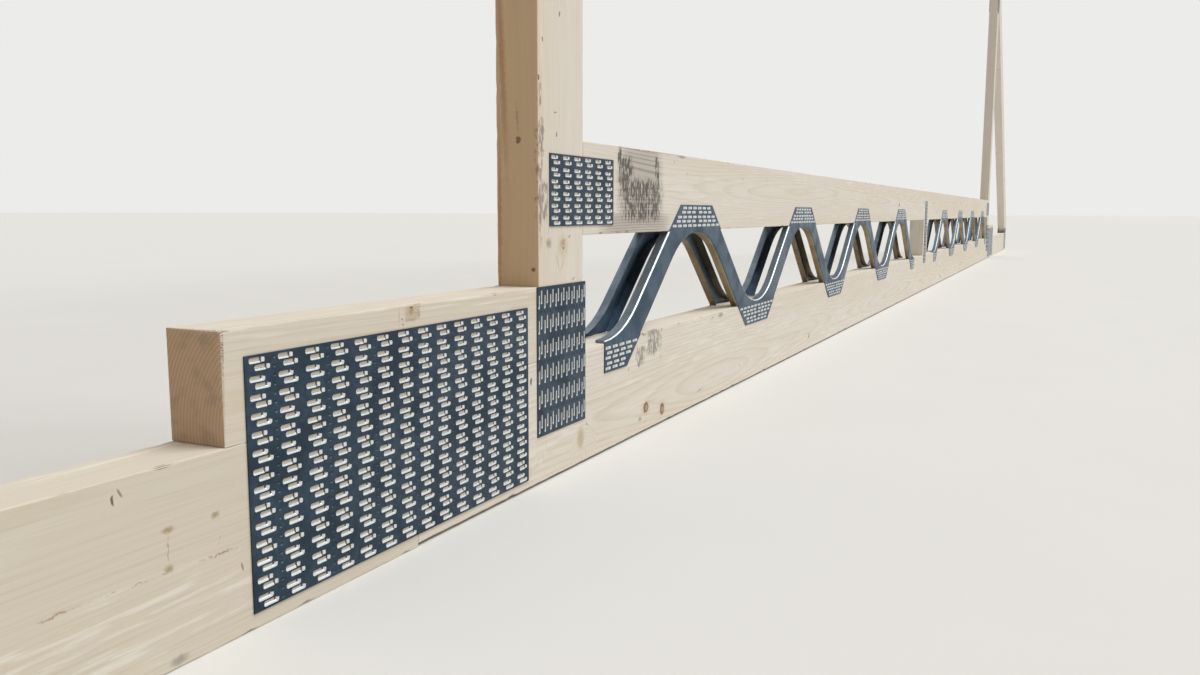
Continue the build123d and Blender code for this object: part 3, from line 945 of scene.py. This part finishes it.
def punching_tree():
    """The tree that punches a sheet, and the identifier of each of its inputs by name."""
    tree = bpy.data.node_groups.new("Punched sheet", "GeometryNodeTree")
    open_socket(tree, "Geometry", "Geometry")
    ids = {name: open_socket(tree, name, kind) for name, kind in PUNCH_INPUTS.items()}
    open_socket(tree, "Geometry", "Geometry", "OUTPUT")
    given = add(tree, "NodeGroupInput").outputs
    hooked = add(tree, NAMED, MARK, {"Name": "hooked"})
    turn = add(tree, NAMED, {"data_type": "FLOAT"}, {"Name": "turn"})
    rotation = add(tree, COMBINE, None, {"Z": turn})
    middles, others = split_points(tree, given["Geometry"], "slot")
    dents, edges = split_points(tree, others, "dimple")
    outline = add(tree, "GeometryNodeMeshToCurve", None, {"Mesh": edges})
    slots, holes = punched_holes(tree, given, middles, dents, rotation)
    curves = add(tree, JOIN, None, [[outline, slots, holes]])
    filled = add(tree, "GeometryNodeFillCurve", {"mode": "TRIANGLES"}, {"Curve": curves})
    down = add(tree, MATHS, TIMES, [given["Thickness"], -1.0])
    drop = add(tree, COMBINE, None, {"Z": down})
    back = add(tree, "GeometryNodeSetPosition", None, {"Geometry": filled, "Offset": drop})
    front = add(tree, "GeometryNodeExtrudeMesh", {"mode": "FACES"},
                {"Mesh": back, "Offset Scale": given["Thickness"], "Individual": False})
    flipped = add(tree, "GeometryNodeFlipFaces", None, {"Mesh": back})
    shell = add(tree, JOIN, None, [[front, flipped]])
    closed = add(tree, "GeometryNodeMergeByDistance", None, {"Geometry": shell, "Distance": 0.005 * MM})
    unhooked = add(tree, "FunctionNodeBooleanMath", {"operation": "NOT"}, [hooked])
    plain_teeth = fitted(tree, given["Plain Tooth"], middles, unhooked, rotation)
    hooked_teeth = fitted(tree, given["Hooked Tooth"], middles, hooked, rotation)
    cups = add(tree, REALIZE, None, {"Geometry": fitted(tree, given["Dimple"], dents, True, rotation)})
    dimpled = add(tree, JOIN, None, [[closed, cups]])
    marked = add(tree, "GeometryNodeStoreNamedAttribute", {**MARK, "domain": "FACE"},
                 {"Geometry": dimpled, "Name": "sheet", "Value": True})
    toothed = add(tree, JOIN, None, [[marked, plain_teeth, hooked_teeth]])
    real = add(tree, REALIZE, None, {"Geometry": toothed})
    is_sheet = add(tree, NAMED, MARK, {"Name": "sheet"})
    coloured = add(tree, "GeometryNodeSetMaterial", None,
                   {"Geometry": real, "Selection": is_sheet, "Material": given["Steel"]})
    add(tree, "NodeGroupOutput", None, {"Geometry": coloured})
    return tree, ids


punch, punch_ids = punching_tree()
print("punching tree nodes", len(punch.nodes))

# %% [markdown]
# A modifier runs the tree on a starting mesh. Its inputs are set by their identifiers before
# Blender evaluates it, the result is copied to a plain mesh, and the helper object goes away.

# %% Punch a sheet
CORNER_SHARE = 0.24
PLATE_SLOT = (SLOT_LENGTH, SLOT_HEIGHT)
UPRIGHT_SLOT = (SLOT_LENGTH, UPRIGHT_SLOT_HEIGHT)
# How far the second slot of a pair lies along from the first, and how far below it
PAIR_SHIFT, PAIR_DROP = 4.8 * MM, 5.1 * MM


def punched(name, outlines, slots, dimples, steel, slot_size, teeth):
    """A mesh of flat sheets. Slots and dimples are (x, y, turn, hooked) in the sheet's own plane."""
    bm = bmesh.new()
    for corners in outlines:
        ring = [bm.verts.new((x, y, 0)) for x, y in corners]
        for a, b in zip(ring, ring[1:] + ring[:1]):
            bm.edges.new((a, b))
    edge_points = len(bm.verts)
    for x, y, _turn, _hooked in slots + dimples:
        bm.verts.new((x, y, 0))
    start = piece_from(bm, name + "_start")
    marks = start.data.attributes
    for mark, kind in (("slot", "BOOLEAN"), ("dimple", "BOOLEAN"), ("hooked", "BOOLEAN"), ("turn", "FLOAT")):
        marks.new(mark, kind, "POINT")
    for index, (_x, _y, turn, hooked) in enumerate(slots + dimples, edge_points):
        is_slot = index < edge_points + len(slots)
        marks["slot"].data[index].value = is_slot
        marks["dimple"].data[index].value = not is_slot
        marks["hooked"].data[index].value = hooked
        marks["turn"].data[index].value = turn
    modifier = start.modifiers.new("punch", "NODES")
    modifier.node_group = punch
    values = {"Slot Length": slot_size[0], "Slot Height": slot_size[1], "Thickness": SHEET,
              "Corner Radius": CORNER_SHARE * slot_size[1], "Dimple Length": DIMPLE[0],
              "Dimple Height": DIMPLE[1], "Plain Tooth": teeth[0], "Hooked Tooth": teeth[1],
              "Dimple": dimple, "Steel": steel}
    for key, value in values.items():
        modifier[punch_ids[key]] = value
    evaluated = start.evaluated_get(bpy.context.evaluated_depsgraph_get())
    mesh = bpy.data.meshes.new_from_object(evaluated)
    bpy.data.objects.remove(start)
    return mesh


def grid_slots(width, height, columns, rows, upright):
    """Pairs of slots, one pair to a cell. The second of a pair sits to the right and below."""
    cell_wide, cell_high = width / columns, height / rows
    slots = []
    for row in range(rows):
        for column in range(columns):
            x = (column + 0.5) * cell_wide - width / 2
            y = height / 2 - (row + 0.5) * cell_high
            hooked = (column if upright else row) % 2 == 1
            for side in (-1, 1):
                if upright:
                    place = (x + side * PAIR_DROP / 2, y + side * PAIR_SHIFT / 2, -pi / 2, hooked)
                else:
                    place = (x + side * PAIR_SHIFT / 2, y - side * PAIR_DROP / 2, 0.0, hooked)
                slots.append(place)
    return slots


def grid_dimples(width, height, columns, rows, upright):
    """Two dimples to a cell, in every other gap between cells along the slots."""
    cell_wide, cell_high = width / columns, height / rows
    dimples = []
    for gap in range(1, rows if upright else columns, 2):
        for quarter in range(1, 4 * (columns if upright else rows), 2):
            if upright:
                place = (quarter * cell_wide / 4 - width / 2, gap * cell_high - height / 2, pi / 2, False)
            else:
                place = (gap * cell_wide - width / 2, quarter * cell_high / 4 - height / 2, 0.0, False)
            dimples.append(place)
    return dimples


# %% [markdown]
# Nail plates
#
# Each plate's size comes from its place in the construction, and only the number of cells is
# given here. Most lie with their slots level. The plates at the feet of the posts stand, so
# their slots are upright. Front and back plates of a kind are the same sheet, turned about.

# %% Nail plates
STAND_UP = Matrix.Rotation(pi / 2, 4, "X")
TURN_ABOUT = Matrix.Rotation(pi, 4, "Z")
# Columns and rows of cells, and whether the plate stands
PLATE_KINDS = {
    "splice_plate": (14, 14, False),
    "post_foot_plate": (9, 6, True),
    "floor_end_plate": (6, 6, False),
    "stud_plate": (2, 17, False),
    "heel_plate": (6, 12, False),
    "knee_plate": (4, 12, False),
    "tie_plate": (6, 6, False),
    "apex_plate": (7, 8, False),
}


def place_sheet(mesh, name, node, front):
    """Stands a flat sheet up where a node is, facing front or back."""
    low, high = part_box(node)
    middle = (low + high) / 2
    outer = low.y if front else high.y
    turn = Matrix.Identity(4) if front else TURN_ABOUT
    copy = mesh.copy()
    copy.transform(Matrix.Translation((middle.x, outer, middle.z)) @ turn @ STAND_UP)
    copy.name = name
    piece = bpy.data.objects.new(name, copy)
    bpy.context.scene.collection.objects.link(piece)
    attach(piece, "root")
    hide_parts(node)


plate_total = 0
for kind, (columns, rows, upright) in PLATE_KINDS.items():
    plate_nodes = sorted(n for n in nodes if n.startswith(kind))
    low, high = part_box(plate_nodes[0])
    width, height = high.x - low.x, high.z - low.z
    corners = [(-width / 2, -height / 2), (width / 2, -height / 2), (width / 2, height / 2),
               (-width / 2, height / 2)]
    teeth = (tall_tooth, tall_tooth) if upright else (plain_tooth, hooked_tooth)
    slot_size = UPRIGHT_SLOT if upright else PLATE_SLOT
    sheet = punched(kind, [corners], grid_slots(width, height, columns, rows, upright),
                    grid_dimples(width, height, columns, rows, upright), plate_steel, slot_size, teeth)
    for node in plate_nodes:
        place_sheet(sheet, "punched_" + node, node, node.endswith("front"))
        plate_total += 1
    print(kind, "faces", len(sheet.polygons))
print("nail plates", plate_total)

# %% [markdown]
# Web strips
#
# A web strip is pressed from one sheet: flat toothed plates that lie on the two chords, and
# struts between them with their edges rolled over. The struts are taken over from the
# construction, cut where the sheet meets the chords. The plates are punched anew with the same
# tree, in rows that grow with the plate's width, every other row set outwards. Where the rolled
# edges point up they get a painted highlight, and the flanges behind them get a painted
# reflection: a paler grey of sky, but tan of the timber underneath.

# %% Web strips
WEB_PITCH = 610.0 * MM
FLANGE_TO_TIMBER = 0.4 * MM
STRUT_WIDTH = 36.7 * MM
# Distance from the narrow edge in mm, slots on each side of the middle, and their shift outwards
WEB_ROWS = [(4.3, 3, 0.0), (10.0, 3, 4.1), (16.5, 4, 0.0), (22.2, 4, 4.1), (28.3, 5, 0.0)]
WEB_SLOT_PITCH = 19.4 * MM
WEB_SLOT = (WEB_SLOT_LENGTH, WEB_SLOT_HEIGHT)
NARROW_HALF = 63.5 * MM
CREASE = radians(25)
# How much a face's normal points forward: a flange less than this, a rolled edge between these
FLANGE_FORWARD, ROLLED_EDGE = 0.5, (0.59, 0.96)
# A normal within this of level faces neither up nor down
LEVEL = 0.05
chord_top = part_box("block_left")[0].z
floor_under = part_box("floor_chord")[0].z


def strut_slope():
    """The rise per run of the struts' edges, from the strip's height, pitch and strut width."""
    low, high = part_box("web_strip_left_front")
    height, run = high.z - low.z, WEB_PITCH / 2 - 2 * NARROW_HALF
    reach = (height ** 2 + run ** 2) ** 0.5
    return tan(acos(STRUT_WIDTH / reach) - atan2(run, height))


def web_plate(middle, narrow_z, chord_z, slope, clip_low, clip_high):
    """The outline and slots of one flat plate, clipped to the strip's length."""
    up = 1 if chord_z > narrow_z else -1
    depth = abs(chord_z - narrow_z)
    wide = NARROW_HALF + depth / slope
    left, right = max(middle - wide, clip_low), min(middle + wide, clip_high)
    outline = [(left, chord_z), (right, chord_z)]
    if right > middle:
        outline.append((min(middle + NARROW_HALF, clip_high), narrow_z))
    else:
        outline.append((right, narrow_z))
    if left < middle:
        outline.append((max(middle - NARROW_HALF, clip_low), narrow_z))
    else:
        outline.append((left, narrow_z))
    slots = []
    for away, count, shift in WEB_ROWS:
        for index in range(count):
            offset = (index + 0.5) * WEB_SLOT_PITCH + shift * MM
            for x in (middle - offset, middle + offset):
                if clip_low < x < clip_high:
                    slots.append((x, narrow_z + up * away * MM, 0.0, False))
    return outline, slots


def strut_part(node):
    """The rolled struts of a strip, cut free from its flat plates."""
    bm = bmesh.new()
    bm.from_mesh(nodes[node].data)
    bmesh.ops.remove_doubles(bm, verts=bm.verts, dist=0.01 * MM)
    for z, keep in ((chord_top + FLANGE_TO_TIMBER, 1), (floor_under - FLANGE_TO_TIMBER, -1)):
        cut = bmesh.ops.bisect_plane(bm, geom=bm.verts[:] + bm.edges[:] + bm.faces[:], dist=0.02 * MM,
                                     plane_co=(0, 0, z), plane_no=(0, 0, -keep), clear_outer=True)
        rim = [e for e in cut["geom_cut"] if isinstance(e, bmesh.types.BMEdge)]
        bmesh.ops.edgenet_fill(bm, edges=rim)
    bmesh.ops.recalc_face_normals(bm, faces=bm.faces)
    low_forward, high_forward = ROLLED_EDGE
    for face in bm.faces:
        face.normal_update()
        forward = abs(face.normal.y)
        face.smooth = True
        # Flanges get a painted reflection by the way they face, and up-facing rolled edges a painted
        # highlight
        if forward < FLANGE_FORWARD:
            face.material_index = 2 if face.normal.z > -LEVEL else 3
        elif low_forward < forward < high_forward and face.normal.z > LEVEL:
            face.material_index = 1
    for edge in bm.edges:
        edge.smooth = len(edge.link_faces) == 2 and edge.calc_face_angle() < CREASE
    piece = piece_from(bm, "web_" + node)
    for steel in (web_steel, edge_highlight_zinc, flange_sky_reflection_steel, under_timber_reflection_steel):
        piece.data.materials.append(steel)
    return piece


def dress_web(node):
    """A strip's struts joined with its punched plates, in place of its plain node."""
    low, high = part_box(node)
    slope = strut_slope()
    count = round((high.x - low.x) / WEB_PITCH)
    outlines, slots = [], []
    for step in range(2 * count + 1):
        middle = low.x + step * WEB_PITCH / 2
        at_bottom = step % 2 == 0
        narrow_z = low.z if at_bottom else high.z
        chord_z = chord_top + FLANGE_TO_TIMBER if at_bottom else floor_under - FLANGE_TO_TIMBER
        outline, holes = web_plate(middle, narrow_z, chord_z, slope, low.x, high.x)
        outlines.append(outline)
        slots += holes
    sheet = punched(node, outlines, slots, [], web_steel, WEB_SLOT, (double_tooth, double_tooth))
    if node.endswith("front"):
        stand = Matrix.Translation((0, low.y, 0)) @ STAND_UP
    else:
        middle_x = (low.x + high.x) / 2
        to_middle = Matrix.Translation((-middle_x, 0, 0))
        stand = Matrix.Translation((middle_x, high.y, 0)) @ TURN_ABOUT @ to_middle @ STAND_UP
    sheet.transform(stand)
    plates = bpy.data.objects.new(node + "_plates", sheet)
    bpy.context.scene.collection.objects.link(plates)
    struts = strut_part(node)
    bpy.ops.object.select_all(action="DESELECT")
    plates.select_set(True)
    struts.select_set(True)
    bpy.context.view_layer.objects.active = struts
    bpy.ops.object.join()
    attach(struts, "root")
    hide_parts(node)
    return struts


for side in ("left", "right"):
    for face_name in ("front", "back"):
        web = dress_web(f"web_strip_{side}_{face_name}")
        print(web.name, "faces", len(web.data.polygons))
for helper in (*teeth_made, dimple):
    bpy.data.objects.remove(helper)

# %% [markdown]
# Studio
#
# The floor is pale and wide, so it reaches the horizon in every view. The world gives soft,
# slightly warm light from all round. One broad sun from the front, a little to the right, lights
# the front and the tops and leaves the left ends in shade. The camera and mirror rays see a
# pale background, which adds no light to the object.

# %% Floor, light and world
FLOOR_REACH = 120.0
FLOOR_PALE = linear("#D9D8D5")
FLOOR_CLOUD = linear("#CFCECB")
FLOOR_CLOUD_RATE = 3.0
FLOOR_ROUGHNESS = 0.9
BACKDROP = linear("#ECECEA")
WORLD_LIGHT = (0.43, 0.40, 0.36)
SUN_COLOUR = (0.97, 0.99, 1.0)
SUN_STRENGTH = 2.55
SUN_SOFTNESS = radians(35)
SUN_FROM = Vector((0.4, -0.72, 1.4))


def make_floor():
    """A wide, matt and slightly clouded floor."""
    bm = bmesh.new()
    bmesh.ops.create_grid(bm, x_segments=1, y_segments=1, size=FLOOR_REACH)
    floor = piece_from(bm, "floor")
    material, tree, shader = new_material("pale studio floor")
    where = add(tree, COORDINATES).outputs["Object"]
    cloud = add(tree, NOISE, None, {"Vector": where, "Scale": FLOOR_CLOUD_RATE, "Detail": 3.0})
    tone = laid_over(tree, FLOOR_PALE, FLOOR_CLOUD, cloud, 0.3, 0.7, 0.15)
    give(tree, shader, {"Base Color": tone, "Roughness": FLOOR_ROUGHNESS})
    floor.data.materials.append(material)
    floor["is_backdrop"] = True


def make_world():
    """Soft light for the object, and a pale background for what the camera and mirrors see."""
    world = bpy.data.worlds.new("soft studio")
    bpy.context.scene.world = world
    world.use_nodes = True
    tree = world.node_tree
    path = add(tree, "ShaderNodeLightPath").outputs
    either = {"operation": "ADD", "use_clamp": True}
    seen = add(tree, MATHS, either, [path["Is Camera Ray"], path["Is Glossy Ray"]])
    seen = add(tree, MATHS, either, [seen, path["Is Transmission Ray"]])
    colour = add(tree, MIX, COLOURS, [seen, [*WORLD_LIGHT, 1.0], BACKDROP])
    give(tree, tree.nodes["Background"], {"Color": colour, "Strength": 1.0})


def make_sun():
    """One broad sun with soft shadows."""
    light = bpy.data.lights.new("broad soft key", "SUN")
    light.energy = SUN_STRENGTH
    light.color = SUN_COLOUR
    light.angle = SUN_SOFTNESS
    sun = bpy.data.objects.new("broad_soft_key", light)
    sun.rotation_euler = SUN_FROM.to_track_quat("Z", "Y").to_euler()
    bpy.context.scene.collection.objects.link(sun)


make_floor()
make_world()
make_sun()
print("floor", 2 * FLOOR_REACH, "m wide, sun strength", SUN_STRENGTH)

# %% [markdown]
# Camera
#
# The camera stands close to the end of the truss and looks along it, a little downwards, as a
# person would who crouches beside it. Its place was found from the truss's own corners.

# %% Camera
CAMERA_PLACE = Vector((-3.72103, -0.50368, 0.27775))
CAMERA_YAW = 1.12886
CAMERA_PITCH = -0.12536
CAMERA_ROLL = 0.00267
FOCAL_PIXELS = 996.89
IMAGE_WIDTH = 1200
SENSOR_WIDTH = 36.0
CLIP_START, CLIP_END = 0.02, 400.0


def make_camera():
    """The camera at its place, turned by its yaw, pitch and roll."""
    ahead = Vector((sin(CAMERA_YAW) * cos(CAMERA_PITCH), cos(CAMERA_YAW) * cos(CAMERA_PITCH),
                    sin(CAMERA_PITCH)))
    level = Vector((cos(CAMERA_YAW), -sin(CAMERA_YAW), 0))
    upright = level.cross(ahead)
    right = level * cos(CAMERA_ROLL) + upright * sin(CAMERA_ROLL)
    up = upright * cos(CAMERA_ROLL) - level * sin(CAMERA_ROLL)
    data = bpy.data.cameras.new("camera")
    data.sensor_fit = "HORIZONTAL"
    data.sensor_width = SENSOR_WIDTH
    data.lens = FOCAL_PIXELS * SENSOR_WIDTH / IMAGE_WIDTH
    data.clip_start = CLIP_START
    data.clip_end = CLIP_END
    camera = bpy.data.objects.new("camera", data)
    axes = Matrix((right, up, -ahead)).transposed().to_4x4()
    camera.matrix_world = Matrix.Translation(CAMERA_PLACE) @ axes
    bpy.context.scene.collection.objects.link(camera)
    bpy.context.scene.camera = camera
    print("lens", round(data.lens, 2), "mm")


make_camera()
bpy.context.scene.view_settings.view_transform = "Standard"

# %% [markdown]
# Measure the size
#
# The bounds of the dressed truss are measured, without the floor. The dressed truss has to
# stay in the box of the construction.

# %% Finish
low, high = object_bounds()
